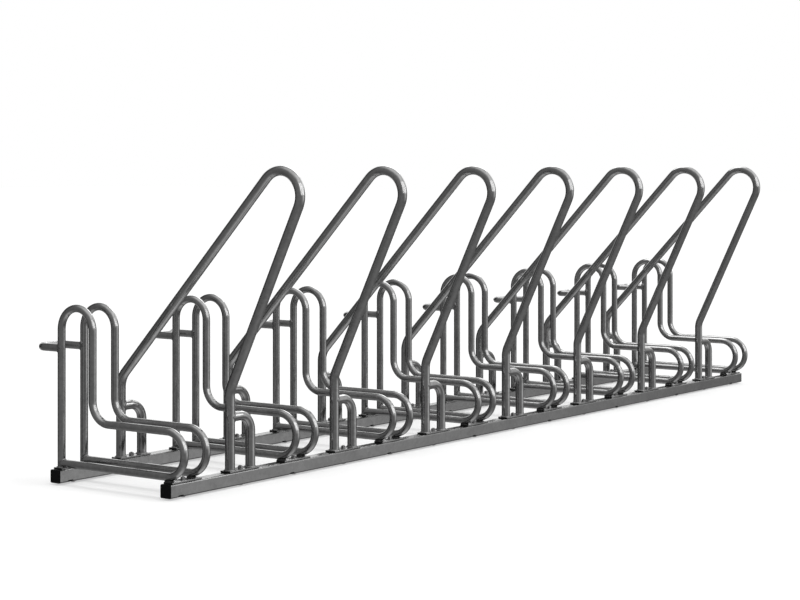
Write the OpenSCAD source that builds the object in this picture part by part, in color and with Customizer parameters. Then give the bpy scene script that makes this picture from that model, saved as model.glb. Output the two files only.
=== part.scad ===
// Floor bike rack. Two square rails stand on the mushroom heads of their own bolts and carry
// a row of wheel places. A place is a pair of bent tube loops, with a stop bar at the back,
// and between every two places a tall hoop leans forward for a bike's frame. Every foot is
// welded to a small plate, and one bolt through the rail holds each plate.
// The origin is on the ground, at the middle of the rack. The front is -Y.

/* [Layout] */
// Number of wheel places
places = 8; // [2:1:8]
// Distance from one wheel place to the next
pitch = 500; // [400:5:650]
// Distance between the middle lines of the front and rear rails
rail_spacing = 448; // [420:1:480]

/* [Rails] */
// Outside width and height of the square rail tube
rail_size = 40; // [35:1:50]
// Wall of the rail tube
rail_wall = 3; // [2:0.5:3.5]
// Outside corner radius of the rail tube
rail_corner_r = 4.5; // [4:0.5:7]
// Rail left over past the outermost loop's middle line
rail_end_margin = 24; // [18:1:60]
// Length of the drain slot beside each wheel place's bolt, in the rail's lower front edge
drain_l = 28; // [20:1:40]
// Height of the drain slot in the rail's front, and its depth in the underside
drain_h = 6.5; // [5:0.5:9]
// Steel left between a drain slot and the bolt's hole
drain_gap = 10; // [6:1:20]

/* [Rail end caps] */
// Thickness of the cap's head, outside the rail
cap_head_t = 3; // [2:0.5:6]
// Length of the cap's plug, inside the rail
cap_plug_l = 9; // [6:1:14]
// Wall of the cap's plug
cap_plug_wall = 2; // [1:0.5:3]
// Air between the cap's plug and the rail's inside
cap_clearance = 0.3; // [0.1:0.1:0.5]

/* [Wheel loops] */
// Outside diameter of the loop tube
loop_tube_d = 24; // [18:1:26]
// Wall of the loop tube
loop_tube_wall = 2; // [1:0.5:3]
// Distance between the middle lines of a place's two loops
loop_spacing = 93; // [80:1:110]
// Height of a loop's top above the ground
loop_h = 540; // [440:1:700]
// From the loop's rear tube, at its middle line, to the outside of its front bend
loop_depth = 509; // [490:1:560]
// Radius of every bend of a loop, at the middle line
loop_bend_r = 65; // [50:1:75]

/* [Wheel stops] */
// Height of the stop bar's middle line above the ground
stop_h = 406; // [300:1:440]
// From the loops' rear tubes, at their middle line, to the outside of the stop bar
stop_reach = 109; // [70:1:160]
// Bend radius of the stop bar, at the middle line
stop_bend_r = 27; // [22:1:38]

/* [Lean hoops] */
// Outside diameter of the hoop tube
hoop_tube_d = 30; // [24:1:34]
// Wall of the hoop tube
hoop_tube_wall = 2; // [1.5:0.5:3]
// Height of a hoop's top above the ground
hoop_h = 953; // [800:1:1100]
// How far a hoop leans out in front of its front leg's middle line
hoop_lean = 283; // [220:1:340]
// Bend radius at the hoop's top, at the middle line
hoop_top_r = 74; // [60:1:90]
// Height at which the rear leg's middle line would meet the slope above it
hoop_rear_knee_h = 294; // [260:1:340]
// Height at which the front leg's middle line would meet the slope above it
hoop_front_knee_h = 285; // [260:1:340]
// Bend radius at both knees, at the middle line
hoop_knee_r = 75; // [60:1:110]

/* [Hoop braces] */
// From the leg's middle line to the middle line of the brace's own foot
brace_spread = 92; // [84:1:110]
// Height of the brace's middle line where it is welded to the leg
brace_h = 208; // [150:1:230]
// Bend radius of the brace, at the middle line
brace_bend_r = 50; // [42:1:60]

/* [Foot plates] */
// Thickness of the foot plates
plate_t = 5; // [3:0.5:8]
// Width of a plate under a pair of loops, across the rail
holder_plate_w = 35; // [30:1:40]
// Plate left over past the loop tubes
holder_plate_margin = 4; // [1:0.5:8]
// Width of a plate under a hoop's leg, across the rail
hoop_plate_w = 40; // [30:1:44]
// Plate left over past the hoop's tubes
hoop_plate_margin = 6; // [1:0.5:10]

/* [Bolts] */
// Thread diameter of the bolts
bolt_d = 8; // [6:1:10]
// Diameter of the mushroom head
bolt_head_d = 20.6; // [16:0.1:26]
// Height of the mushroom head, which is the rack's foot
bolt_head_h = 5; // [3.5:0.1:6]
// Diameter of the flat in the middle of the mushroom head
bolt_head_flat_d = 9; // [6:0.5:12]
// Height of the square neck under the head
bolt_neck_h = 4.5; // [3:0.1:6]
// Thread left over past the nut
bolt_end_l = 1.9; // [1:0.1:8]
// Width of the nut across its flats
nut_across_flats = 13; // [12:0.5:17]
// Height of the nut
nut_h = 6.5; // [5:0.1:9]
// Outside diameter of the washer
washer_d = 16; // [14:0.5:24]
// Thickness of the washer
washer_t = 1.6; // [1:0.1:3]

/* [Fits] */
// Air round the bolt in the rails and plates
hole_clearance = 0.5; // [0.2:0.1:1]
// Air round the bolt in the washer
washer_clearance = 0.2; // [0.1:0.1:0.5]
// Air between the bolt's thread and the nut's
thread_clearance = 0.1; // [0.05:0.05:0.2]
// Root gap of the tube welds
weld_gap = 0.2; // [0.1:0.05:0.5]

/* [Hidden] */
$fn = 96;

// Overrun of every cut
cut = 1;

// How much a bend's wall draws in on each side, and how far a straight laps over a bend's end
bend_draw = 0.1;
bend_lap = 0.5;

// Numbers of the places and of the hoops between them, as their names count them
place_numbers = [1 : places];
hoop_numbers = [1 : places - 1];

// Levels above the ground
rail_bottom_z = bolt_head_h;
rail_top_z = rail_bottom_z + rail_size;
plate_top_z = rail_top_z + plate_t;
washer_top_z = plate_top_z + washer_t;
nut_top_z = washer_top_z + nut_h;

// The rails reach as far past the two outermost loops
rail_l = (places - 1) * pitch + loop_spacing + 2 * rail_end_margin;

// Middle of a drain slot, to the left of its bolt
drain_dx = bolt_d / 2 + hole_clearance + drain_gap + drain_l / 2;

// The origin halves the whole depth, from the hoops' fronts to the stop bars' backs
front_reach = max(rail_spacing + hoop_lean, loop_depth);
rear_reach = max(stop_reach, rail_size / 2, hoop_plate_w / 2);
rear_y = (front_reach - rear_reach) / 2;
front_y = rear_y - rail_spacing;

// Feet of a place and of a hoop, either side of their own middle
loop_dx = loop_spacing / 2;
brace_dx = brace_spread / 2;
holder_plate_l = loop_spacing + loop_tube_d + 2 * holder_plate_margin;
hoop_plate_l = brace_spread + hoop_tube_d + 2 * hoop_plate_margin;

// Middle of a wheel place, and of the hoop that follows it along the rails
function place_x(i) = (i - (places + 1) / 2) * pitch;
function hoop_x(i) = place_x(i) + pitch / 2;

place_xs = [for (i = place_numbers) place_x(i)];
hoop_xs = [for (i = hoop_numbers) hoop_x(i)];

// A loop's levels: its low tube rests on the front plate, and its front bend is a half turn
loop_low_z = plate_top_z + weld_gap + loop_tube_d / 2;
loop_mid_z = loop_low_z + 2 * loop_bend_r;
loop_bend_z = loop_h - loop_tube_d / 2 - loop_bend_r;
loop_front_bend_y = loop_depth - loop_tube_d / 2 - loop_bend_r;

// A hoop's top bend, forward of the rear leg and above the ground
hoop_top_y = rail_spacing + hoop_lean - hoop_tube_d / 2 - hoop_top_r;
hoop_top_z = hoop_h - hoop_tube_d / 2 - hoop_top_r;

// From each knee to the centre of the top bend: the distance, and the angle from upright
rear_knee_d = norm([hoop_top_y, hoop_top_z - hoop_rear_knee_h]);
front_knee_d = norm([hoop_top_y - rail_spacing, hoop_top_z - hoop_front_knee_h]);
rear_slope = atan2(hoop_top_y, hoop_top_z - hoop_rear_knee_h) - asin(hoop_top_r / rear_knee_d);
front_slope = atan2(hoop_top_y - rail_spacing, hoop_top_z - hoop_front_knee_h)
    + asin(hoop_top_r / front_knee_d);

// Straight that a knee bend takes from each of the two tubes that meet in it
rear_knee_l = hoop_knee_r * tan(rear_slope / 2);
front_knee_l = hoop_knee_r * tan(front_slope / 2);

// Straight slopes that touch the top bend
rear_slope_l = sqrt(pow(rear_knee_d, 2) - pow(hoop_top_r, 2)) - rear_knee_l;
front_slope_l = sqrt(pow(front_knee_d, 2) - pow(hoop_top_r, 2)) - front_knee_l;

// How a tube is bent, one step after another: straight length, angle of the bend, its radius.
// A tube sets out upwards, and a positive angle turns it to the front.
loop_steps = [
    [loop_bend_z - plate_top_z, 180, loop_bend_r],
    [loop_bend_z - loop_mid_z - loop_bend_r, -90, loop_bend_r],
    [loop_front_bend_y - 3 * loop_bend_r, 180, loop_bend_r],
];
stop_steps = [
    [stop_reach - loop_tube_d / 2 - stop_bend_r, 90, stop_bend_r],
    [loop_spacing - 2 * stop_bend_r, 90, stop_bend_r],
    [stop_reach - loop_tube_d / 2 - stop_bend_r, 0, 0],
];
hoop_steps = [
    [hoop_rear_knee_h - plate_top_z - rear_knee_l, rear_slope, hoop_knee_r],
    [rear_slope_l, 180 + front_slope - rear_slope, hoop_top_r],
    [front_slope_l, -front_slope, hoop_knee_r],
    [hoop_front_knee_h - plate_top_z - front_knee_l, 0, 0],
];
brace_steps = [
    [brace_spread - brace_bend_r, 90, brace_bend_r],
    [brace_h - brace_bend_r - plate_top_z, 0, 0],
];

// Colours of the galvanised steel, the bright fasteners and the plastic caps
steel = [0.47, 0.48, 0.49];
zinc = [0.62, 0.63, 0.64];
black_plastic = [0.04, 0.04, 0.04];

// Square with round corners
module rounded_square(side, r) {
    flat = side - 2 * r;
    square([side, flat], center = true);
    square([flat, side], center = true);
    for (x = [-flat / 2, flat / 2], y = [-flat / 2, flat / 2]) translate([x, y]) circle(r);
}

// Cross-section of a round tube
module ring(d, wall) {
    difference() {
        circle(d / 2);
        circle(d / 2 - wall);
    }
}

// One bend of a tube that comes in upwards and turns to the front, or to the rear if mirrored
module tube_bend(d, wall, angle, r) {
    translate([0, -r, 0]) rotate([90, 0, 90]) rotate_extrude(angle = angle)
        translate([r, 0]) ring(d - 2 * bend_draw, wall - 2 * bend_draw);
}

// Tube bent by its list of steps, each drawn in the frame that the step before it ends in.
// Where a straight meets a bend it laps over the bend's end
module bent_tube(d, wall, steps, k = 0) {
    if (k < len(steps)) {
        straight = steps[k][0];
        angle = steps[k][1];
        r = steps[k][2];
        side = sign(angle) * r;
        lap_before = k > 0 ? bend_lap : 0;
        lap_after = angle != 0 ? bend_lap : 0;
        translate([0, 0, -lap_before])
            linear_extrude(straight + lap_before + lap_after) ring(d, wall);
        translate([0, 0, straight]) {
            if (angle > 0) tube_bend(d, wall, angle, r);
            if (angle < 0) mirror([0, 1, 0]) tube_bend(d, wall, -angle, r);
            translate([0, -side, 0]) rotate([angle, 0, 0]) translate([0, side, 0])
                bent_tube(d, wall, steps, k + 1);
        }
    }
}

// Slot with round ends across a rail's lower front edge, which lets zinc and rain out
module drain_slot() {
    translate([0, drain_h, 0]) rotate([90, 0, 0]) linear_extrude(drain_h + cut) {
        square([drain_l - 2 * drain_h, 2 * drain_h], center = true);
        for (x = [-1, 1]) translate([x * (drain_l / 2 - drain_h), 0]) circle(drain_h);
    }
}

// Square tube along X, with a round hole for each bolt on top, a square one below and a drain
// slot at each wheel place
module rail(y) {
    difference() {
        translate([-rail_l / 2, y, rail_bottom_z + rail_size / 2]) rotate([90, 0, 90])
            linear_extrude(rail_l) difference() {
                rounded_square(rail_size, rail_corner_r);
                rounded_square(rail_size - 2 * rail_wall, rail_corner_r - rail_wall);
            }
        for (x = concat(place_xs, hoop_xs)) {
            translate([x, y, rail_top_z - rail_wall - cut])
                cylinder(d = bolt_d + 2 * hole_clearance, h = rail_wall + 2 * cut);
            translate([x, y, rail_bottom_z + rail_wall / 2])
                cube([bolt_d + 2 * hole_clearance, bolt_d + 2 * hole_clearance,
                    rail_wall + 2 * cut], center = true);
        }
        for (x = place_xs) translate([x - drain_dx, y - rail_size / 2, rail_bottom_z]) drain_slot();
    }
}

module front_rail() { color(steel) rail(front_y); }
module rear_rail() { color(steel) rail(rear_y); }

// Plastic cap on a rail's end: a head as large as the tube, and a hollow plug inside it
module rail_cap(y) {
    plug = rail_size - 2 * rail_wall - 2 * cap_clearance;
    plug_r = rail_corner_r - rail_wall;
    color(black_plastic) translate([rail_l / 2, y, rail_bottom_z + rail_size / 2])
        rotate([90, 0, 90]) {
            linear_extrude(cap_head_t) rounded_square(rail_size, rail_corner_r);
            translate([0, 0, -cap_plug_l]) linear_extrude(cap_plug_l) difference() {
                rounded_square(plug, plug_r);
                square(plug - 2 * cap_plug_wall, center = true);
            }
        }
}

module front_rail_cap_right() { rail_cap(front_y); }
module rear_rail_cap_right() { rail_cap(rear_y); }
module front_rail_cap_left() { mirror([1, 0, 0]) rail_cap(front_y); }
module rear_rail_cap_left() { mirror([1, 0, 0]) rail_cap(rear_y); }

// Bent loop of one side of a wheel place. The low tube runs back under the loop, and its end
// is cut to the round of the rear tube and welded to it
module wheel_loop(x) {
    color(steel) translate([x, rear_y, 0]) {
        translate([0, 0, plate_top_z]) bent_tube(loop_tube_d, loop_tube_wall, loop_steps);
        difference() {
            translate([0, 0, loop_low_z]) rotate([90, 0, 0])
                linear_extrude(loop_front_bend_y) ring(loop_tube_d, loop_tube_wall);
            translate([0, 0, loop_low_z])
                cylinder(d = loop_tube_d - loop_tube_wall, h = 2 * loop_tube_d, center = true);
        }
    }
}

module wheel_loop_left(i) { wheel_loop(place_x(i) - loop_dx); }
module wheel_loop_right(i) { wheel_loop(place_x(i) + loop_dx); }

// Stop bar behind a wheel: a level bend with both ends cut to the loops' rear tubes
module wheel_stop(i) {
    color(steel) translate([place_x(i), rear_y, stop_h]) difference() {
        translate([-loop_dx, 0, 0]) rotate([-90, 90, 0])
            bent_tube(loop_tube_d, loop_tube_wall, stop_steps);
        for (x = [-loop_dx, loop_dx]) translate([x, 0, 0])
            cylinder(d = loop_tube_d + 2 * weld_gap, h = 2 * loop_tube_d, center = true);
    }
}

// Tall hoop that leans to the front, with a leg on each rail
module lean_hoop(i) {
    color(steel) translate([hoop_x(i) - brace_dx, rear_y, plate_top_z])
        bent_tube(hoop_tube_d, hoop_tube_wall, hoop_steps);
}

// Quarter bend that props a hoop's leg sideways, its end cut to the round of the leg
module hoop_brace(i, y) {
    color(steel) translate([hoop_x(i) - brace_dx, y, brace_h]) difference() {
        rotate([90, 0, 90]) bent_tube(hoop_tube_d, hoop_tube_wall, brace_steps);
        cylinder(d = hoop_tube_d + 2 * weld_gap, h = 2 * hoop_tube_d, center = true);
    }
}

module hoop_front_brace(i) { hoop_brace(i, front_y); }
module hoop_rear_brace(i) { hoop_brace(i, rear_y); }

// Foot plates along one rail, each with the hole of its bolt
module plates(xs, y, length, width) {
    color(steel) for (x = xs) translate([x, y, rail_top_z]) difference() {
        translate([-length / 2, -width / 2, 0]) cube([length, width, plate_t]);
        translate([0, 0, -cut])
            cylinder(d = bolt_d + 2 * hole_clearance, h = plate_t + 2 * cut);
    }
}

module holder_front_plates() { plates(place_xs, front_y, holder_plate_l, holder_plate_w); }
module holder_rear_plates() { plates(place_xs, rear_y, holder_plate_l, holder_plate_w); }
module hoop_front_plates() { plates(hoop_xs, front_y, hoop_plate_l, hoop_plate_w); }
module hoop_rear_plates() { plates(hoop_xs, rear_y, hoop_plate_l, hoop_plate_w); }

// Copies of a fastener, one for each foot plate
module at_each_bolt() {
    for (x = concat(place_xs, hoop_xs), y = [front_y, rear_y]) translate([x, y, 0]) children();
}

// Round of the mushroom head: the sphere through its flat's edge and its rim
head_drop = (pow(bolt_head_d, 2) - pow(bolt_head_flat_d, 2)) / 4;
head_rise = (head_drop - pow(bolt_head_h, 2)) / (2 * bolt_head_h);
head_sphere_r = norm([head_rise, bolt_head_d / 2]);

// Bolt with its mushroom head on the ground and a square neck that the rail keeps from turning
module carriage_bolt() {
    intersection() {
        translate([0, 0, bolt_head_h + head_rise]) sphere(head_sphere_r);
        cylinder(d = 2 * bolt_head_d, h = bolt_head_h);
    }
    translate([-bolt_d / 2, -bolt_d / 2, bolt_head_h]) cube([bolt_d, bolt_d, bolt_neck_h]);
    translate([0, 0, bolt_head_h])
        cylinder(d = bolt_d, h = nut_top_z + bolt_end_l - bolt_head_h);
}

module carriage_bolts() { color(zinc) at_each_bolt() carriage_bolt(); }

module washers() {
    color(zinc) at_each_bolt() translate([0, 0, plate_top_z]) difference() {
        cylinder(d = washer_d, h = washer_t);
        translate([0, 0, -cut])
            cylinder(d = bolt_d + 2 * washer_clearance, h = washer_t + 2 * cut);
    }
}

// Hexagon nut whose corners are turned off at both ends
module nut() {
    flat_r = nut_across_flats / 2;
    widest_r = flat_r + nut_h / 2 / tan(30);
    difference() {
        intersection() {
            cylinder(r = flat_r / cos(30), h = nut_h, $fn = 6);
            rotate_extrude() polygon([
                [0, 0], [flat_r, 0], [widest_r, nut_h / 2], [flat_r, nut_h], [0, nut_h]
            ]);
        }
        translate([0, 0, -cut])
            cylinder(d = bolt_d + 2 * thread_clearance, h = nut_h + 2 * cut);
    }
}

module nuts() { color(zinc) at_each_bolt() translate([0, 0, washer_top_z]) nut(); }

front_rail();
rear_rail();
front_rail_cap_left();
front_rail_cap_right();
rear_rail_cap_left();
rear_rail_cap_right();
for (i = place_numbers) {
    wheel_loop_left(i);
    wheel_loop_right(i);
    wheel_stop(i);
}
for (i = hoop_numbers) {
    lean_hoop(i);
    hoop_front_brace(i);
    hoop_rear_brace(i);
}
holder_front_plates();
holder_rear_plates();
hoop_front_plates();
hoop_rear_plates();
carriage_bolts();
washers();
nuts();
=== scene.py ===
import math

import bpy
import numpy as np
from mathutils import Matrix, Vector


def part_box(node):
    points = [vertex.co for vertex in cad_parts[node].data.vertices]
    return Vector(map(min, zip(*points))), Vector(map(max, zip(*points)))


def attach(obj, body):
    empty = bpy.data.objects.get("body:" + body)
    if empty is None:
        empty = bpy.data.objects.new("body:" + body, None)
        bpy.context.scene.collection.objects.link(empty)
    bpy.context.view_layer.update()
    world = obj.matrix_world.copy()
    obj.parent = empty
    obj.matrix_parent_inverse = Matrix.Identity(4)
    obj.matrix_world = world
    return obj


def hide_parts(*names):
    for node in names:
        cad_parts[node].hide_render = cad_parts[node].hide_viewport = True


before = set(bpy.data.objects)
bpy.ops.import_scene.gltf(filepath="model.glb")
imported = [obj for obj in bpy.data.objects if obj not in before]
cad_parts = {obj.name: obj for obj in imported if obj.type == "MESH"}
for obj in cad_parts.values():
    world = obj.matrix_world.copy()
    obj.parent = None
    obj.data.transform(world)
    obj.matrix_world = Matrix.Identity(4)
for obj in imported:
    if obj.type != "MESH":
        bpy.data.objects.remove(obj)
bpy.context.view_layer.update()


# Rails. Each is one length of square steel tube with round corners, drilled for its bolts and
# slotted below for draining, then hot-dip galvanised. The frame's own solids are shown, and take
# the finish: zinc with spangle of about a centimetre, whose grain has its real size everywhere
MM = 0.001


def node(tree, kind, inputs=None, **settings):
    """New shader node with its settings, whose inputs are numbers, colours or other sockets"""
    made = tree.nodes.new(kind)
    for key, value in settings.items():
        setattr(made, key, value)
    for key, value in (inputs or {}).items():
        if isinstance(value, bpy.types.NodeSocket):
            tree.links.new(value, made.inputs[key])
        else:
            made.inputs[key].default_value = value
    return made


def new_material(name, metallic):
    """Material with a Principled shader, and the place in metres that its patterns run in"""
    made = bpy.data.materials.new(name)
    made.use_nodes = True
    tree = made.node_tree
    tree.nodes.clear()
    shader = node(tree, "ShaderNodeBsdfPrincipled", {"Metallic": metallic})
    out = node(tree, "ShaderNodeOutputMaterial")
    tree.links.new(shader.outputs["BSDF"], out.inputs["Surface"])
    return made, tree, shader, node(tree, "ShaderNodeTexCoord").outputs["Object"]


def noise(tree, place, scale, detail=3.0, rough=0.5):
    """Grey noise of about 0.3 to 0.7, whose features are about one over scale in size"""
    return node(tree, "ShaderNodeTexNoise", {"Vector": place, "Scale": scale, "Detail": detail,
        "Roughness": rough}).outputs["Fac"]


def spread(tree, value, low, high, start=0.3, stop=0.7):
    """Number that runs from low to high as value runs from start to stop"""
    return node(tree, "ShaderNodeMapRange", {"Value": value, "From Min": start, "From Max": stop,
        "To Min": low, "To Max": high}).outputs["Result"]


def blend(tree, factor, dark, light):
    """Colour between two greys or colours"""
    return node(tree, "ShaderNodeMix", {"Factor": factor, "A": (*dark, 1.0), "B": (*light, 1.0)},
        data_type="RGBA").outputs["Result"]


def bumped(tree, shader, *layers):
    """Gives the shader bump from layers of height, strength and depth in metres"""
    normal = None
    for height, strength, depth in layers:
        bump = node(tree, "ShaderNodeBump", {"Height": height, "Strength": strength,
            "Distance": depth})
        if normal is not None:
            tree.links.new(normal, bump.inputs["Normal"])
        normal = bump.outputs["Normal"]
    tree.links.new(normal, shader.inputs["Normal"])


def math_node(tree, operation, *values):
    """Number worked out from one, two or three numbers"""
    return node(tree, "ShaderNodeMath", dict(enumerate(values)), operation=operation).outputs[0]


def vector_node(tree, operation, *values, output="Vector"):
    """Vector, or its length or other value, worked out from one, two or three vectors"""
    made = node(tree, "ShaderNodeVectorMath", dict(enumerate(values)), operation=operation)
    return made.outputs[output]


def galvanised(name, grey, contrast, gloss, spangle=115.0, painted_shade=None):
    """Hot-dip zinc: grains of slightly different grey and gloss, dull clouds, an uneven skin.
    Spangle is the number of grains in a metre, and a function painted_shade gives how far the
    surface is darkened by painted shade, from 0 to 1"""
    made, tree, shader, place = new_material(name, 1.0)
    warp = node(tree, "ShaderNodeTexNoise", {"Vector": place, "Scale": 170.0, "Detail": 2.0})
    shift = vector_node(tree, "SUBTRACT", warp.outputs["Color"], (0.5, 0.5, 0.5))
    ragged = 6 * MM
    bent = vector_node(tree, "MULTIPLY_ADD", shift, (ragged, ragged, ragged), place)
    cells = node(tree, "ShaderNodeTexVoronoi", {"Vector": bent, "Scale": spangle})
    grain = node(tree, "ShaderNodeSeparateColor", {"Color": cells.outputs["Color"]}).outputs
    clouds = noise(tree, place, 11.0, 4.0)
    fine = noise(tree, place, 420.0, 4.0, 0.6)
    tone = math_node(tree, "MULTIPLY_ADD", grain["Red"], 0.35, clouds)
    dark, light = [grey * (1 - contrast)] * 3, [grey * (1 + contrast)] * 3
    colour = blend(tree, spread(tree, tone, 0.0, 1.0, 0.35, 1.0), dark, light)
    # Painted shade: near-black mixed into the zinc colour as far as the mask says
    if painted_shade:
        painted_shade_colour = (0.012, 0.012, 0.012, 1.0)
        colour = node(tree, "ShaderNodeMix", {"Factor": painted_shade(tree, place), "A": colour, "B": painted_shade_colour},
            data_type="RGBA").outputs["Result"]
    tree.links.new(colour, shader.inputs["Base Color"])
    dull = math_node(tree, "MULTIPLY_ADD", grain["Green"], 0.5, fine)
    tree.links.new(spread(tree, dull, *gloss, 0.35, 1.15), shader.inputs["Roughness"])
    runs = noise(tree, place, 60.0, 2.0)
    bumped(tree, shader, (runs, 0.06, 0.8 * MM), (fine, 0.08, 0.2 * MM))
    return made


def facing(tree):
    """Three numbers of the way that the surface faces, from -1 to 1"""
    way = node(tree, "ShaderNodeTexCoord").outputs["Normal"]
    return node(tree, "ShaderNodeSeparateXYZ", {"Vector": way}).outputs


def painted_shade_at_slots(tree, place):
    """Painted shade: a near-black oval low on the front face at each drain slot, one at each wheel
    place
    """
    axes = node(tree, "ShaderNodeSeparateXYZ", {"Vector": place}).outputs
    from_first = math_node(tree, "ADD", axes["X"], -slot_x)
    along = math_node(tree, "PINGPONG", from_first, spacing / 2)
    up = math_node(tree, "ADD", axes["Z"], -slot_z)
    flat = node(tree, "ShaderNodeCombineXYZ", {"X": along, "Y": up}).outputs[0]
    share = vector_node(tree, "MULTIPLY", flat, (1 / painted_shade_x, 1 / painted_shade_z, 0.0))
    far = vector_node(tree, "LENGTH", share, output="Value")
    front = spread(tree, facing(tree)["Y"], 1.0, 0.0, -0.5, -0.2)
    return math_node(tree, "MULTIPLY", spread(tree, far, 1.0, 0.0, 0.8, 1.1), front)


places = [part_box(f"wheel_stop_{i}") for i in range(1, 9)]
place_xs = [(low.x + high.x) / 2 for low, high in places]
spacing, painted_shade_x, painted_shade_z = place_xs[1] - place_xs[0], 12.5 * MM, 4.2 * MM
slot_left, slot_up = 28.5 * MM, 2.2 * MM
slot_x, slot_z = place_xs[0] - slot_left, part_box("front_rail")[0].z + slot_up
# The rails' zinc carries painted shade: a near-black oval low on the front face at each drain slot
rail_steel = galvanised("galvanised_rail", grey=0.24, contrast=0.11, gloss=(0.14, 0.24),
    spangle=90.0, painted_shade=painted_shade_at_slots)
rail_corner = 4.5 * MM
for name in ("front_rail", "rear_rail"):
    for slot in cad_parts[name].material_slots:
        slot.material = rail_steel


# Rail caps. Black moulded plastic: a head with rounded edges and a slightly sunk face covers the
# tube's end, and a plug behind it grips the inside. Its grain is fine, and scuffs are duller


def wrapped(rings, points, closed):
    """Quads between each ring of a grid and the next, all round, and back to the first if closed"""
    i = np.arange(rings if closed else rings - 1)[:, None]
    j = np.arange(points)[None, :]
    near, far, beside = i * points, (i + 1) % rings * points, (j + 1) % points
    return np.stack([near + j, far + j, far + beside, near + beside], -1).reshape(-1, 4)


def solid(vertices, blocks):
    """Closed part, turned so that its faces look outwards. Its volume, the sum of the triple
    products of each face's corners, is then above zero"""
    volume = 0.0
    for block in blocks:
        a = vertices[block[:, 0]]
        for k in range(1, block.shape[1] - 1):
            volume += (a * np.cross(vertices[block[:, k]], vertices[block[:, k + 1]])).sum()
    return vertices, blocks if volume > 0 else [block[:, ::-1] for block in blocks]


def skin(grid, closed=False):
    """Part from a grid of rings. The ends of an open one are closed by fans round the mean of
    their points"""
    rings, points = grid.shape[:2]
    vertices = grid.reshape(-1, 3)
    if closed:
        return solid(vertices, [wrapped(rings, points, True)])
    ends = np.stack([grid[0].mean(0), grid[-1].mean(0)])
    j = np.arange(points)
    beside, middle, last = (j + 1) % points, rings * points, (rings - 1) * points
    first_fan = np.stack([np.full(points, middle), j, beside], -1)
    last_fan = np.stack([np.full(points, middle + 1), last + beside, last + j], -1)
    blocks = [wrapped(rings, points, False), first_fan, last_fan]
    return solid(np.vstack([vertices, ends]), blocks)


def piece(name, parts, material, replaced=(), crease=40):
    """Mesh object of all the parts, smooth but for its sharp edges, that stands for CAD nodes"""
    points, corners, sizes, base = [], [], [], 0
    for vertices, blocks in parts:
        points.append(vertices)
        corners += [(block + base).ravel() for block in blocks]
        sizes += [np.full(len(block), block.shape[1]) for block in blocks]
        base += len(vertices)
    points, corners, sizes = np.vstack(points), np.concatenate(corners), np.concatenate(sizes)
    mesh = bpy.data.meshes.new(name)
    mesh.vertices.add(len(points))
    mesh.vertices.foreach_set("co", points.astype(np.float32).ravel())
    mesh.loops.add(len(corners))
    mesh.loops.foreach_set("vertex_index", corners.astype(np.int32))
    mesh.polygons.add(len(sizes))
    mesh.polygons.foreach_set("loop_start", (np.cumsum(sizes) - sizes).astype(np.int32))
    mesh.polygons.foreach_set("use_smooth", np.ones(len(sizes), bool))
    mesh.update(calc_edges=True)
    mesh.validate()
    mesh.set_sharp_from_angle(angle=math.radians(crease))
    mesh.materials.append(material)
    made = bpy.data.objects.new(name, mesh)
    bpy.context.collection.objects.link(made)
    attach(made, "root")
    if replaced:
        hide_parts(*replaced)


def rounded_outline(length, width, corner, steps=6):
    """Points round a rectangle with round corners, anticlockwise: a quarter circle round each
    corner's centre, which lies one corner radius in from both sides"""
    turn = np.linspace(0, math.pi / 2, steps + 1)
    points = []
    for k, (sx, sy) in enumerate([(1, 1), (-1, 1), (-1, -1), (1, -1)]):
        middle = np.array([sx * (length / 2 - corner), sy * (width / 2 - corner)])
        a = turn + k * math.pi / 2
        points.append(middle + corner * np.stack([np.cos(a), np.sin(a)], -1))
    return np.vstack(points)


plastic, tree, shader, place = new_material("cap_plastic", 0.0)
grain = noise(tree, place, 2600.0, 2.0)
scuffs = noise(tree, place, 140.0, 5.0, 0.65)
black, worn = (0.002, 0.002, 0.002), (0.005, 0.005, 0.005)
tree.links.new(blend(tree, spread(tree, scuffs, 0.0, 1.0, 0.45, 0.75), black, worn),
    shader.inputs["Base Color"])
tree.links.new(spread(tree, scuffs, 0.42, 0.60), shader.inputs["Roughness"])
shader.inputs["Specular IOR Level"].default_value = 0.10
bumped(tree, shader, (grain, 0.20, 0.08 * MM))
plug, head, plug_length = 33.4 * MM, 3 * MM, 9 * MM
plug_lead, tip_corner, plug_corner = 1.2 * MM, 0.9 * MM, 1.5 * MM
back_edge, face_edge = 0.25 * MM, 1.1 * MM
border, border_corner = 3.5 * MM, 2.2 * MM
dip, dip_slope, dip_corner = 0.45 * MM, 0.6 * MM, 1.9 * MM
for name in [f"{rail}_rail_cap_{side}" for rail in ("front", "rear") for side in ("left", "right")]:
    low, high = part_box(name)
    way = -1 if name.endswith("left") else 1
    face = low.x if way < 0 else high.x
    side, y, z = high.z - low.z, (low.y + high.y) / 2, (low.z + high.z) / 2
    rows = [(plug - plug_lead, tip_corner, -head - plug_length)]
    rows += [(plug, plug_corner, -head - plug_length + plug_lead), (plug, plug_corner, -head)]
    rows += [(side - 2 * back_edge, rail_corner - back_edge, -head)]
    rows += [(side, rail_corner, -head + back_edge), (side, rail_corner, -face_edge)]
    for a in np.linspace(0, math.pi / 2, 5)[1:]:
        inset = face_edge * (1 - math.cos(a))
        rows.append((side - 2 * inset, rail_corner - inset, -face_edge * (1 - math.sin(a))))
    rows += [(side - 2 * border, border_corner, 0.0)]
    rows += [(side - 2 * border - 2 * dip_slope, dip_corner, -dip)]
    grid = []
    for width, corner, depth in rows:
        flat = rounded_outline(width, width, corner)
        x = np.full(len(flat), face + way * depth)
        grid.append(np.column_stack([x, y + flat[:, 0], z + flat[:, 1]]))
    piece(name + "_moulding", [skin(np.stack(grid))], plastic, [name], crease=35)


# Foot plates. Flat steel bar, sawn to length, with softened edges and corners. Each lies flat on
# its rail under two feet and has the hole of its bolt. One piece for each size and rail


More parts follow.
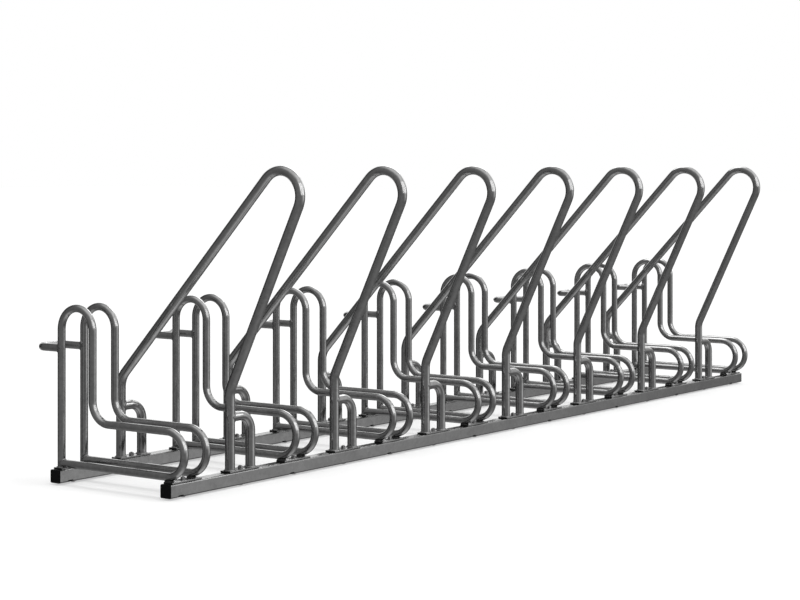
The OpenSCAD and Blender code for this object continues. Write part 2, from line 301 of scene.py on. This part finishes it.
def plate(x, y, z, length, width, thickness, corner, edge, hole, steps=3):
    """Part of a flat plate with a round hole in its middle and softened edges: outlines that
    draw in as quarter circles above and below, and the hole's circle on the outline's own rays"""
    turn = np.linspace(0, math.pi / 2, steps + 1)
    rim = [(edge * (1 - math.sin(a)), thickness - edge * (1 - math.cos(a))) for a in turn]
    rim += [(inset, thickness - height) for inset, height in reversed(rim)]
    ways = rounded_outline(length, width, corner)
    ways = hole * ways / np.linalg.norm(ways, axis=1, keepdims=True)
    rings = [(ways, thickness)]
    for inset, height in rim:
        outline = rounded_outline(length - 2 * inset, width - 2 * inset, corner - inset)
        rings.append((outline, height))
    rings.append((ways, 0.0))
    grid = [np.column_stack([x + flat[:, 0], y + flat[:, 1], np.full(len(flat), z + height)])
        for flat, height in rings]
    return skin(np.stack(grid), closed=True)


def painted_shade_on_ends(tree, place):
    """Painted shade on a plate's ends: the faces towards either end are darkened as if in shadow"""
    return spread(tree, math_node(tree, "ABSOLUTE", facing(tree)["X"]), 0.0, 0.85, 0.5, 0.9)


# The plates' zinc carries painted shade on their ends
plate_steel = galvanised("galvanised_plate", grey=0.23, contrast=0.12, gloss=(0.20, 0.32),
    spangle=140.0, painted_shade=painted_shade_on_ends)
hoop_xs = [(a + b) / 2 for a, b in zip(place_xs, place_xs[1:])]
plate_corner, plate_edge, plate_hole = 1.6 * MM, 0.7 * MM, 4.5 * MM
for name in ("holder_front_plates", "holder_rear_plates", "hoop_front_plates", "hoop_rear_plates"):
    low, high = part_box(name)
    xs = place_xs if name.startswith("holder") else hoop_xs
    y, length = (low.y + high.y) / 2, 2 * (xs[0] - low.x)
    width, thickness = high.y - low.y, high.z - low.z
    parts = [plate(x, y, low.z, length, width, thickness, plate_corner, plate_edge, plate_hole)
        for x in xs]
    piece(name + "_bars", parts, plate_steel, [name])
low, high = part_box("hoop_rear_plates")
rear_y, plate_top = (low.y + high.y) / 2, high.z
low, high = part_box("hoop_front_plates")
front_y, front_plate_back = (low.y + high.y) / 2, high.y


# Wheel loops. Round steel tube, bent cold and galvanised: a half turn at the top, a quarter turn
# the other way and a half turn in front, from which the low tube runs back to the foot and is
# cut to its round
UP = np.array([0.0, 0.0, 1.0])


def bent_line(steps, turn_step=math.radians(5), gap=40 * MM, ease=math.radians(20)):
    """Middle line of a bent tube in its own plane: rows of u, v, heading and share of the bend.
    A step is a straight, the angle of the bend after it and its radius. The line sets out
    along v, and a positive angle turns it towards u. A bend is an arc round a centre beside the
    straight's end, and its share rises smoothly over the ease at each end"""
    point, heading, rows = np.zeros(2), 0.0, []
    for straight, angle, radius in steps:
        forward = np.array([math.sin(heading), math.cos(heading)])
        for d in np.linspace(0, straight, max(2, math.ceil(straight / gap) + 1)):
            rows.append((*(point + d * forward), heading, 0.0))
        point = point + straight * forward
        if angle:
            side = math.copysign(radius, angle)
            centre = point + side * np.array([math.cos(heading), -math.sin(heading)])
            for t in np.linspace(0, 1, math.ceil(abs(angle) / turn_step) + 1)[1:-1]:
                h = heading + t * angle
                share = min(1, min(t, 1 - t) * abs(angle) / ease)
                at = centre - side * np.array([math.cos(h), -math.sin(h)])
                rows.append((*at, h, share * share * (3 - 2 * share)))
            heading += angle
            point = centre - side * np.array([math.cos(heading), -math.sin(heading)])
    return np.array(rows)


def sweep(line, radius, origin, u, v, sides=32, oval=0.018):
    """Grid of a round tube: at each point of the middle line a circle, its cosine across the line
    in the line's plane and its sine out of the plane. In the bends it is a little oval"""
    u, v = np.array(u, float), np.array(v, float)
    middle = np.array(origin, float) + line[:, :1] * u + line[:, 1:2] * v
    across = np.cos(line[:, 2:3]) * u - np.sin(line[:, 2:3]) * v
    turn = np.linspace(0, 2 * math.pi, sides, endpoint=False)
    in_plane = radius * np.outer(1 - oval * line[:, 3], np.cos(turn))
    off_plane = radius * np.outer(1 + 0.4 * oval * line[:, 3], np.sin(turn))
    aside = in_plane[..., None] * across[:, None]
    return middle[:, None] + aside + off_plane[..., None] * np.cross(u, v)


def coped(ring, axis_point, radius, direction, depth=0.3 * MM):
    """End ring of a level tube, moved along it to just inside the upright tube that it meets. The
    reach at a point is the root of the radius squared less the point's offset squared"""
    d = np.array(direction, float)
    off = (ring - axis_point) @ np.cross(UP, d)
    reach = np.sqrt(np.maximum((radius - depth) ** 2 - off**2, 0))
    return ring + (reach - (ring - axis_point) @ d)[:, None] * d


steel = galvanised("galvanised_steel", grey=0.31, contrast=0.16, gloss=(0.08, 0.14))
low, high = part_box("wheel_loop_left_1")
loop_r, loop_bend, low_gap = round((high.x - low.x) / 2, 4), 65 * MM, 0.2 * MM
low_z, loop_xs = plate_top + low_gap + loop_r, []
for side in ("left", "right"):
    for i in range(1, 9):
        name = f"wheel_loop_{side}_{i}"
        low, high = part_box(name)
        x, foot_y = (low.x + high.x) / 2, high.y - loop_r
        loop_xs.append(x)
        top_bend = high.z - loop_r - loop_bend
        front_bend = foot_y - (low.y + loop_r + loop_bend)
        middle_z = low_z + 2 * loop_bend
        line = bent_line([
            (top_bend - plate_top, math.pi, loop_bend),
            (top_bend - middle_z - loop_bend, -math.pi / 2, loop_bend),
            (front_bend - 3 * loop_bend, math.pi, loop_bend),
            (front_bend, 0, 0),
        ])
        grid = sweep(line, loop_r, (x, foot_y, plate_top), (0, -1, 0), (0, 0, 1))
        grid[-1] = coped(grid[-1], (x, foot_y, low_z), loop_r, (0, -1, 0))
        piece(name + "_tube", [skin(grid)], steel, [name])


# Wheel stops. A level bend of the loops' tube behind each place, which keeps the wheel off the
# wall. Both ends are cut to the round of the loops' rear tubes and welded to them
stop_bend = 27 * MM
for i, (low, high) in enumerate(places, 1):
    left, right, z = low.x + loop_r, high.x - loop_r, (low.z + high.z) / 2
    out = high.y - loop_r - rear_y
    line = bent_line([
        (out - stop_bend, math.pi / 2, stop_bend),
        (right - left - 2 * stop_bend, math.pi / 2, stop_bend),
        (out - stop_bend, 0, 0),
    ])
    grid = sweep(line, loop_r, (left, rear_y, z), (1, 0, 0), (0, 1, 0))
    grid[0] = coped(grid[0], (left, rear_y, z), loop_r, (0, 1, 0))
    grid[-1] = coped(grid[-1], (right, rear_y, z), loop_r, (0, 1, 0))
    piece(f"wheel_stop_{i}_bar", [skin(grid)], steel, [f"wheel_stop_{i}"])


# Lean hoops. A thicker tube with two upright legs, two knees, and two straight slopes that touch
# the round top. The frame of a bicycle leans on it and is locked to it
low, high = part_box("lean_hoop_1")
hoop_r, hoop_top, knee = round((high.x - low.x) / 2, 4), 74 * MM, 75 * MM
rear_knee, front_knee = 294 * MM, 285 * MM
leg_offset = hoop_xs[0] - (low.x + high.x) / 2
for i in range(1, 8):
    name = f"lean_hoop_{i}"
    low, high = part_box(name)
    x, foot_y = (low.x + high.x) / 2, high.y - hoop_r
    top_u, top_z = foot_y - (low.y + hoop_r + hoop_top), high.z - hoop_r - hoop_top
    front_u = rear_y - front_y
    rear_d = math.hypot(top_u, top_z - rear_knee)
    front_d = math.hypot(top_u - front_u, top_z - front_knee)
    rear_slope = math.atan2(top_u, top_z - rear_knee) - math.asin(hoop_top / rear_d)
    front_slope = math.atan2(top_u - front_u, top_z - front_knee) + math.asin(hoop_top / front_d)
    rear_cut, front_cut = knee * math.tan(rear_slope / 2), knee * math.tan(front_slope / 2)
    over_top = math.pi + front_slope - rear_slope
    line = bent_line([
        (rear_knee - plate_top - rear_cut, rear_slope, knee),
        (math.sqrt(rear_d**2 - hoop_top**2) - rear_cut, over_top, hoop_top),
        (math.sqrt(front_d**2 - hoop_top**2) - front_cut, -front_slope, knee),
        (front_knee - plate_top - front_cut, 0, 0),
    ])
    grid = sweep(line, hoop_r, (x, foot_y, plate_top), (0, -1, 0), (0, 0, 1), 40)
    piece(name + "_tube", [skin(grid)], steel, [name])


# Hoop braces. The hoops' tube in a quarter bend, from the right side of each leg down to the far
# end of its plate, so that the hoop can't rock sideways
brace_bend = 50 * MM
for i in range(1, 8):
    for end, y in (("front", front_y), ("rear", rear_y)):
        name = f"hoop_{end}_brace_{i}"
        low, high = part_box(name)
        leg_x, foot_x, z = hoop_xs[i - 1] - leg_offset, high.x - hoop_r, high.z - hoop_r
        line = bent_line([
            (foot_x - leg_x - brace_bend, math.pi / 2, brace_bend),
            (z - brace_bend - plate_top, 0, 0),
        ])
        grid = sweep(line, hoop_r, (leg_x, y, z), (0, 0, -1), (1, 0, 0), 40)
        grid[0] = coped(grid[0], (leg_x, y, z), hoop_r, (1, 0, 0))
        piece(name + "_tube", [skin(grid)], steel, [name])


# Welds. A rippled bead runs round the rear foot of every loop and every hoop leg on its plate, and
# round every joint of two tubes.
# They are made before the zinc, which leaves them duller than the tube


def bead(toe_a, toe_b, root, outward, bulge, seed, closed=True):
    """Part of a weld bead between two toe lines, rippled like scales that lie on each other: over
    the straight between the toes stands a parabola, whose bulge wanders by slow cosines, and the
    ripples are a sine without its sign, set back as far as the parabola is high"""
    pitch, rise, fade = 2.1 * MM, 0.22 * MM, 2 * MM
    line = (toe_a + toe_b) / 2
    step = np.linalg.norm(np.diff(line, axis=0, append=line[:1]), axis=1)
    s = np.concatenate([[0], np.cumsum(step)])
    length = s[-1] if closed else s[-2]
    s = s[:-1]
    pitch = length / round(length / pitch)
    rng = np.random.default_rng(seed)
    turns = 2 * math.pi * s / length
    wander = sum(rng.uniform(0.3, 1) / k * np.cos(k * turns + rng.uniform(0, 6.3))
        for k in (2, 3, 5, 7))
    taper = np.ones_like(s)
    if not closed:
        taper = np.clip(np.minimum(s, length - s) / fade, 0.05, 1) ** 0.5
    u = np.linspace(-1, 1, 9)
    crown = 1 - u**2
    chord = toe_a[:, None] * (1 - u)[:, None] / 2 + toe_b[:, None] * (1 + u)[:, None] / 2
    ripple = np.abs(np.sin(math.pi * ((s / pitch)[:, None] + 0.55 * crown))) ** 0.7 - 0.6
    height = np.outer(bulge * (1 + 0.1 * wander), crown) + rise * ripple * crown**0.5
    ring = np.concatenate([chord + height[..., None] * outward[:, None], root[:, None]], 1)
    middle = ring.mean(1, keepdims=True)
    return skin(middle + (ring - middle) * taper[:, None, None], closed)


weld_step, sunk, crown_share = 0.42 * MM, 0.12 * MM, 0.24
root_in, root_down, joint_root_in = 1.2 * MM, 0.8 * MM, 1.5 * MM


def foot_weld(x, y, z, radius, leg, seed):
    """Weld bead round the foot of an upright tube on a plate. Its toes are circles, one leg out
    on the plate and one leg up the tube, both sunk a little into the steel"""
    turn = np.linspace(0, 2 * math.pi, round(2 * math.pi * radius / weld_step), endpoint=False)
    out = np.stack([np.cos(turn), np.sin(turn), 0 * turn], -1)
    corner = np.array([x, y, z]) + radius * out
    toe_a = corner + leg * out - sunk * UP
    toe_b = corner + leg * UP - sunk * out
    root = corner - root_in * out - root_down * UP
    return bead(toe_a, toe_b, root, (out + UP) / math.sqrt(2), crown_share * leg, seed)


def joint_weld(x, y, z, radius, direction, leg, seed):
    """Weld bead where a level tube meets an upright one that is just as thick. Their skins meet
    in two half ellipses, and the toes lie one leg from these along each skin"""
    d = np.array(direction, float)
    turn = np.linspace(0, 2 * math.pi, round(2.4 * math.pi * radius / weld_step), endpoint=False)
    level, rise = np.cos(turn)[:, None] * np.cross(UP, d), np.sin(turn)[:, None] * UP
    branch = level + rise
    run = level + np.abs(np.sin(turn))[:, None] * d
    corner = np.array([x, y, z]) + radius * (run + rise)

    def eased(a, reach=14):
        """Ways of length one, each the mean of its neighbours' weighted by a bell curve"""
        k = np.exp(-(np.arange(-reach, reach + 1) ** 2) / 60)
        shifts = zip(range(-reach, reach + 1), k / k.sum())
        a = sum(w * np.roll(a, n, axis=0) for n, w in shifts)
        return a / np.maximum(np.linalg.norm(a, axis=1, keepdims=True), 1e-6)

    dot = (branch * run).sum(1, keepdims=True)
    toe_a = corner + leg * eased(branch - dot * run) - sunk * run
    toe_b = corner + leg * eased(run - dot * branch) - sunk * branch
    outward = eased(run + branch)
    root = corner - joint_root_in * outward
    return bead(toe_a, toe_b, root, outward, crown_share * leg, seed)


weld_steel = galvanised("galvanised_weld", grey=0.20, contrast=0.14, gloss=(0.32, 0.50),
    spangle=260.0)
loop_leg, joint_leg, hoop_leg, brace_leg = 3.2 * MM, 3.0 * MM, 3.6 * MM, 3.4 * MM
stop_z = (places[0][0].z + places[0][1].z) / 2
brace_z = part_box("hoop_rear_brace_1")[1].z - hoop_r
beads = [foot_weld(x, rear_y, plate_top, loop_r, loop_leg, k) for k, x in enumerate(loop_xs)]
beads += [joint_weld(x, rear_y, low_z, loop_r, (0, -1, 0), joint_leg, 100 + k)
    for k, x in enumerate(loop_xs)]
piece("loop_welds", beads, weld_steel)
beads = [joint_weld(x, rear_y, stop_z, loop_r, (0, 1, 0), joint_leg, 200 + k)
    for k, x in enumerate(loop_xs)]
piece("stop_welds", beads, weld_steel)
feet = [(x + d, y) for x in hoop_xs for y in (front_y, rear_y) for d in (-leg_offset, leg_offset)]
beads = [foot_weld(x, y, plate_top, hoop_r, hoop_leg, 300 + k) for k, (x, y) in enumerate(feet)]
piece("hoop_foot_welds", beads, weld_steel)
beads = [joint_weld(x, y, brace_z, hoop_r, (1, 0, 0), brace_leg, 400 + k)
    for k, (x, y) in enumerate(feet[::2])]
piece("brace_welds", beads, weld_steel)


# Front welds. Under the front bend of each loop the bead follows the tube's round from one side of
# the plate's rear edge to the other and fills the gap that the bend leaves. Its zinc is near black:
# painted shade in the gap under the bend
painted_shade_weld_steel = galvanised("galvanised_painted_shade", grey=0.05, contrast=0.14, gloss=(0.45, 0.60),
    spangle=260.0)
arm, half, from_edge, recess_bulge = 13.5 * MM, 8.5 * MM, 0.8 * MM, 0.5 * MM
under_lap, recess_root_in, recess_root_up = 0.15 * MM, 2.0 * MM, 0.8 * MM
arm_points, turn_points = 32, 64
turn, up = np.linspace(0, math.pi, turn_points), np.linspace(0, 1, arm_points + 1)
ones, zeros = np.ones(arm_points), np.zeros(arm_points)
# Rows of the bead's place across and along, in halves and arms, and of the way that it faces
path = np.vstack([
    np.column_stack([-ones, up[:-1], -ones, zeros]),
    np.column_stack([-np.cos(turn), np.ones(turn_points), -np.cos(turn), np.sin(turn)]),
    np.column_stack([ones, up[-2::-1], ones, zeros]),
])
forward = path[:, 1] * arm + path[:, 3] * half
out = np.column_stack([path[:, 2], -path[:, 3], np.zeros(len(path))])
across, along = path[:, 0] * half, front_plate_back - from_edge - forward
bend_y, bend_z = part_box("wheel_loop_left_1")[0].y + loop_r + loop_bend, low_z + loop_bend
beads = []
for k, x in enumerate(loop_xs):
    foot = np.column_stack([x + across, along, np.full(len(path), plate_top)])
    ring = loop_bend + np.sqrt(loop_r**2 - (foot[:, 0] - x) ** 2)
    past = np.maximum(bend_y - foot[:, 1], 0)
    under = foot.copy()
    under[:, 2] = bend_z - np.sqrt(ring**2 - past**2) + under_lap
    toe = foot + loop_leg * out - sunk * UP
    root = foot - recess_root_in * out + recess_root_up * UP
    outward = (out + UP) / math.sqrt(2)
    beads.append(bead(toe, under, root, outward, recess_bulge, 500 + k, closed=False))
piece("loop_front_welds", beads, painted_shade_weld_steel)


# Carriage bolts. Zinc-plated steel with fine turning marks. The mushroom head with its small flat
# is the rack's foot, the shank passes through rail and plate, and its rolled thread ends in a
# chamfer over the nut
zinc, tree, shader, place = new_material("zinc_plated", 1.0)
stretched = node(tree, "ShaderNodeMapping", {"Vector": place, "Scale": (1.0, 1.0, 9.0)}).outputs[0]
marks = noise(tree, stretched, 900.0)
patches = noise(tree, place, 120.0)
dull, bright = (0.22, 0.22, 0.22), (0.34, 0.34, 0.34)
tree.links.new(blend(tree, spread(tree, patches, 0.0, 1.0), dull, bright),
    shader.inputs["Base Color"])
tree.links.new(spread(tree, marks, 0.28, 0.45), shader.inputs["Roughness"])
bumped(tree, shader, (marks, 0.15, 0.1 * MM))
bolt_r, head_r, flat_r, head_h, bolt_end = 4 * MM, 10.3 * MM, 4.5 * MM, 5 * MM, 60 * MM
head_edge, edge_out, end_chamfer = 0.5 * MM, 0.22 * MM, 0.75 * MM
# The head is a sphere through the rim of its flat and the rim of its underside
centre_h = head_h + ((head_r**2 - flat_r**2) - head_h**2) / (2 * head_h)
sphere_r = math.hypot(centre_h - head_h, head_r)
dome = [(math.sqrt(sphere_r**2 - (centre_h - h) ** 2), h)
    for h in np.linspace(0, head_h - head_edge, 9)]
rim = dome[-1][0]
profile = [(0.5 * flat_r, 0.0), *dome, (rim + edge_out, head_h - head_edge / 2)]
profile += [(rim, head_h), (bolt_r, head_h)]
# The thread's depth goes up and down once in each pitch, which climbs by one pitch in each turn
sides, thread_pitch, thread_start, thread_depth = 36, 1.25 * MM, 57.2 * MM, 0.68 * MM
thread_play, run_out = 0.05 * MM, 0.2 * MM
turn = np.linspace(0, 2 * math.pi, sides, endpoint=False)
levels = np.arange(thread_start, bolt_end - 0.001 * MM, thread_pitch / 10)
wave = np.abs(((levels[:, None] / thread_pitch - turn / (2 * math.pi)) % 1) * 2 - 1)
thread = bolt_r - thread_play - thread_depth * np.clip(1.15 * wave - 0.05, 0, 1)
thread = np.minimum(thread, (bolt_r - end_chamfer + (bolt_end - levels))[:, None])
r, h = np.array(profile + [(bolt_r, thread_start - run_out)]).T[:, :, None] + 0 * turn
r = np.vstack([r, thread, np.full((1, sides), bolt_r - end_chamfer)])
h = np.vstack([h, levels[:, None] + 0 * turn, np.full((1, sides), bolt_end)])
bolt_places = [(x, y) for x in place_xs + hoop_xs for y in (front_y, rear_y)]
bolts = [skin(np.stack([x + r * np.cos(turn), y + r * np.sin(turn), h], -1))
    for x, y in bolt_places]
piece("carriage_bolts_turned", bolts, zinc, ["carriage_bolts"], crease=35)


# Washers. Punched from sheet and plated: one edge is rounded by the punch and the other is sharp.
# Each lies on a plate, round its bolt


def revolved(profile, x, y, z, sides):
    """Ring turned round an upright axis from rows of radius and height. Across the axis a point
    is the radius times the turn's cosine and sine"""
    turn = np.linspace(0, 2 * math.pi, sides, endpoint=False)
    r, h = np.array(profile, float).T[:, :, None]
    grid = [x + r * np.cos(turn), y + r * np.sin(turn), z + h + 0 * turn]
    return skin(np.stack(grid, -1), closed=True)


low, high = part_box("washers")
thick, outer_r, hole_r = high.z - low.z, 8 * MM, 4.2 * MM
sharp_edge, round_edge, hole_edge = 0.15 * MM, 0.5 * MM, 0.2 * MM
profile = [(hole_r, 0), (outer_r - sharp_edge, 0), (outer_r, sharp_edge)]
profile += [(outer_r - round_edge * (1 - math.cos(a)), thick - round_edge * (1 - math.sin(a)))
    for a in np.linspace(0, math.pi / 2, 5)]
profile += [(hole_r + hole_edge, thick), (hole_r, thick - hole_edge)]
washers = [revolved(profile, x, y, low.z, sides=48) for x, y in bolt_places]
piece("washers_punched", washers, zinc, ["washers"], crease=35)


# Nuts. Plated steel with six flats whose corners are turned off at both ends, so that each flat
# ends in an arc, and with a countersunk bore. Each is left at its own angle by the spanner
low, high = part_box("nuts")
height, flat, bore, sink, sides = high.z - low.z, 6.5 * MM, 4.1 * MM, 0.4 * MM, 72
turn = np.linspace(0, 2 * math.pi, sides, endpoint=False)
# The radius is the flats' distance over the cosine of the turn from the middle of a flat
hexagon = flat / np.cos((turn + math.pi / 6) % (math.pi / 3) - math.pi / 6)
face, even = 0.965 * flat, np.ones(sides)
drop = (hexagon - face) * math.tan(math.radians(30))
rows = [(bore * even, sink * even), ((bore + sink) * even, 0 * even), (face * even, 0 * even)]
rows += [(hexagon, drop), (hexagon, height - drop)]
rows += [(r, height - h) for r, h in reversed(rows[:3])]
r, h = np.stack([row[0] for row in rows]), np.stack([row[1] for row in rows])
nuts = []
for k, (x, y) in enumerate(bolt_places):
    a = turn + math.radians(17 * k % 60)
    nuts.append(skin(np.stack([x + r * np.cos(a), y + r * np.sin(a), low.z + h], -1), closed=True))
piece("nuts_machined", nuts, zinc, ["nuts"], crease=25)


# Floor. Pale, plain and without end. It gives off some light of its own, so that shadows stay
# soft and light, and it keeps out of the reflections
floor_mesh = bpy.data.meshes.new("floor")
reach, below = 60.0, -0.0002
corners = [(-reach, -reach), (reach, -reach), (reach, reach), (-reach, reach)]
floor_mesh.from_pydata([(x, y, below) for x, y in corners], [], [(0, 1, 2, 3)])
floor = bpy.data.objects.new("floor", floor_mesh)
bpy.context.collection.objects.link(floor)
floor.visible_glossy = False
floor_material, tree, shader, place = new_material("pale_floor", 0.0)
shader.inputs["Base Color"].default_value = (0.46, 0.46, 0.46, 1.0)
shader.inputs["Emission Color"].default_value = (1.0, 1.0, 1.0, 1.0)
shader.inputs["Emission Strength"].default_value = 0.47
shader.inputs["Roughness"].default_value = 1.0
shader.inputs["Specular IOR Level"].default_value = 0.0
floor_mesh.materials.append(floor_material)


# Camera. At the photograph's place and angle, held level, with the picture shifted down to the
# rack as in the photograph
camera = bpy.data.objects.new("camera", bpy.data.cameras.new("camera"))
bpy.context.collection.objects.link(camera)
camera.data.sensor_width, camera.data.lens = 36.0, 85.244
picture_width, picture_height, horizon_row = 800, 600, 167.34
camera.data.shift_y = (horizon_row - picture_height / 2) / picture_width
camera.location = (-5.7790, -3.8530, 0.9473)
camera.rotation_euler = Vector((0.8075, 0.5899, 0.0)).to_track_quat("-Z", "Y").to_euler()
bpy.context.scene.camera = camera


# Softboxes. Four tall ones stand in front of the rack and one hangs over its right half. They
# show in the metal alone, as the streaks along the bends


def softbox(name, place, target, width, height, radiance):
    """Area light of a given brightness that faces a point and shows in the metal alone"""
    data = bpy.data.lights.new(name, "AREA")
    data.shape, data.size, data.size_y = "RECTANGLE", width, height
    data.energy = radiance * math.pi * width * height
    made = bpy.data.objects.new(name, data)
    bpy.context.collection.objects.link(made)
    made.location = place
    made.rotation_euler = (Vector(target) - Vector(place)).to_track_quat("-Z", "Y").to_euler()
    made.visible_camera = made.visible_diffuse = False


for k, (x, width) in enumerate([(-2.5, 0.6), (-0.9, 0.6), (0.75, 0.65), (2.4, 0.6)]):
    softbox(f"front_softbox_{k}", (x, -3.2, 2.1), (x, 0.0, 0.7), width, height=2.2, radiance=3.2)
softbox("top_softbox", (1.7, 0.9, 2.7), (1.4, 0.2, 0.7), width=2.2, height=1.5, radiance=3.0)


# Key light. A broad lamp far above, a little in front and to the right, which draws the soft
# shadows on the floor behind the rack and to its left
sun = bpy.data.objects.new("key_light", bpy.data.lights.new("key_light", "SUN"))
bpy.context.collection.objects.link(sun)
sun.data.energy, sun.data.angle = 1.35, math.radians(22)
sun.rotation_euler = Vector((-0.15, 0.25, -1.0)).to_track_quat("-Z", "Y").to_euler()
sun.visible_glossy = False


# Studio. White for the camera, and even for the floor and all dull surfaces. In reflections it is
# dark to the left and behind, brighter in front, to the right and past the rack's far end,
# brightest overhead, and pale again straight below
world = bpy.data.worlds.new("studio")
bpy.context.scene.world = world
world.use_nodes = True
tree = world.node_tree
tree.nodes.clear()
way = node(tree, "ShaderNodeTexCoord").outputs["Generated"]
height = node(tree, "ShaderNodeSeparateXYZ", {"Vector": way}).outputs["Z"]


def toward(direction, low, high, start, stop):
    """Number that runs from low to high as the way turns towards a direction"""
    dot = vector_node(tree, "DOT_PRODUCT", way, direction, output="Value")
    return spread(tree, dot, low, high, start, stop)


def by_height(*rows):
    """Brightness that follows the elevation of the way, from rows of degrees and brightness"""
    made = node(tree, "ShaderNodeValToRGB", {"Fac": spread(tree, height, 0.0, 1.0, -1.0, 1.0)})
    ramp = made.color_ramp
    while len(ramp.elements) < len(rows):
        ramp.elements.new(0.5)
    for stop, (degrees, value) in zip(ramp.elements, rows):
        stop.position = (math.sin(math.radians(degrees)) + 1) / 2
        stop.color = (value, value, value, 1.0)
    return made.outputs["Color"]


def times(a, b):
    """Product of two numbers"""
    return math_node(tree, "MULTIPLY", a, b)


def plus(a, b):
    """Sum of two numbers"""
    return math_node(tree, "ADD", a, b)


behind = (0.40, 0.92, 0.0)
room = by_height(
    (-90, 0.95), (-75, 0.86), (-62, 0.65), (-50, 0.40), (-40, 0.29), (-26, 0.23), (0, 0.25),
    (30, 0.30), (45, 0.42), (55, 0.69), (65, 1.05), (80, 1.3), (90, 1.35))
room = times(room, toward((0.59, -0.81, 0.0), 0.9, 1.1, -1.0, 1.0))
shade = times(by_height((-90, 0.0), (-16, 0.0), (-10.5, 1.0), (90, 1.0)),
    toward(behind, 0.0, -0.9, 0.42, 0.93))
room = plus(room, times(room, shade))
room = times(room, toward((-0.93, -0.36, 0.0), 1.0, 1.25, 0.3, 0.95))
front = times(
    by_height(
        (0, 0.0), (1, 0.0), (9, 0.33), (18, 0.54), (28, 0.72), (50, 0.95), (62, 0.6), (75, 0.35),
        (90, 0.2)),
    toward((0.409, -0.912, 0.0), 0.0, 1.0, 0.15, 0.5))
right = times(
    by_height(
        (-90, 0.0), (-35, 0.1), (-20, 0.2), (-12, 0.4), (-8, 0.7), (5, 0.7), (20, 0.4), (35, 0.2),
        (50, 0.0)),
    toward((0.656, -0.755, 0.0), 0.0, 1.0, 0.906, 0.99))
middle = times(
    by_height((-90, 0.0), (-40, 0.0), (-20, 0.2), (-5, 0.28), (10, 0.28), (30, 0.1), (45, 0.0)),
    toward((0.278, -0.961, 0.0), 0.0, 1.0, 0.84, 0.96))
far_end = times(
    by_height(
        (-90, 0.0), (2, 0.0), (6, 0.6), (10, 1.0), (15, 0.8), (25, 0.5), (35, 0.3), (45, 0.0)),
    toward((0.81, 0.59, 0.0), 0.0, 1.0, 0.6, 0.95))
rear_floor = times(
    by_height((-90, 0.0), (-70, 0.0), (-40, 0.18), (-18, 0.32), (-12, 0.22), (-9, 0.0), (90, 0.0)),
    toward(behind, 0.0, 1.0, 0.72, 0.93))
far_wall = times(
    by_height((-90, 0.0), (8, 0.0), (18, 1.1), (50, 1.5), (60, 0.8), (70, 0.0), (90, 0.0)),
    toward((0.898, 0.441, 0.0), 0.0, 1.0, 0.66, 0.78))
mirrored = room
for glow in (front, right, middle, far_end, far_wall, rear_floor):
    mirrored = plus(mirrored, glow)
ray = node(tree, "ShaderNodeLightPath").outputs
lit = node(tree, "ShaderNodeMix",
    {"Factor": ray["Is Glossy Ray"], "A": 0.93, "B": mirrored}).outputs["Result"]
seen = node(tree, "ShaderNodeMix",
    {"Factor": ray["Is Camera Ray"], "A": lit, "B": 1.0}).outputs["Result"]
shader = node(tree, "ShaderNodeBackground", {"Strength": seen})
shader.inputs["Color"].default_value = (1.0, 1.0, 1.0, 1.0)
tree.links.new(shader.outputs[0], node(tree, "ShaderNodeOutputWorld").inputs["Surface"])
bpy.context.scene.view_settings.view_transform = "Standard"
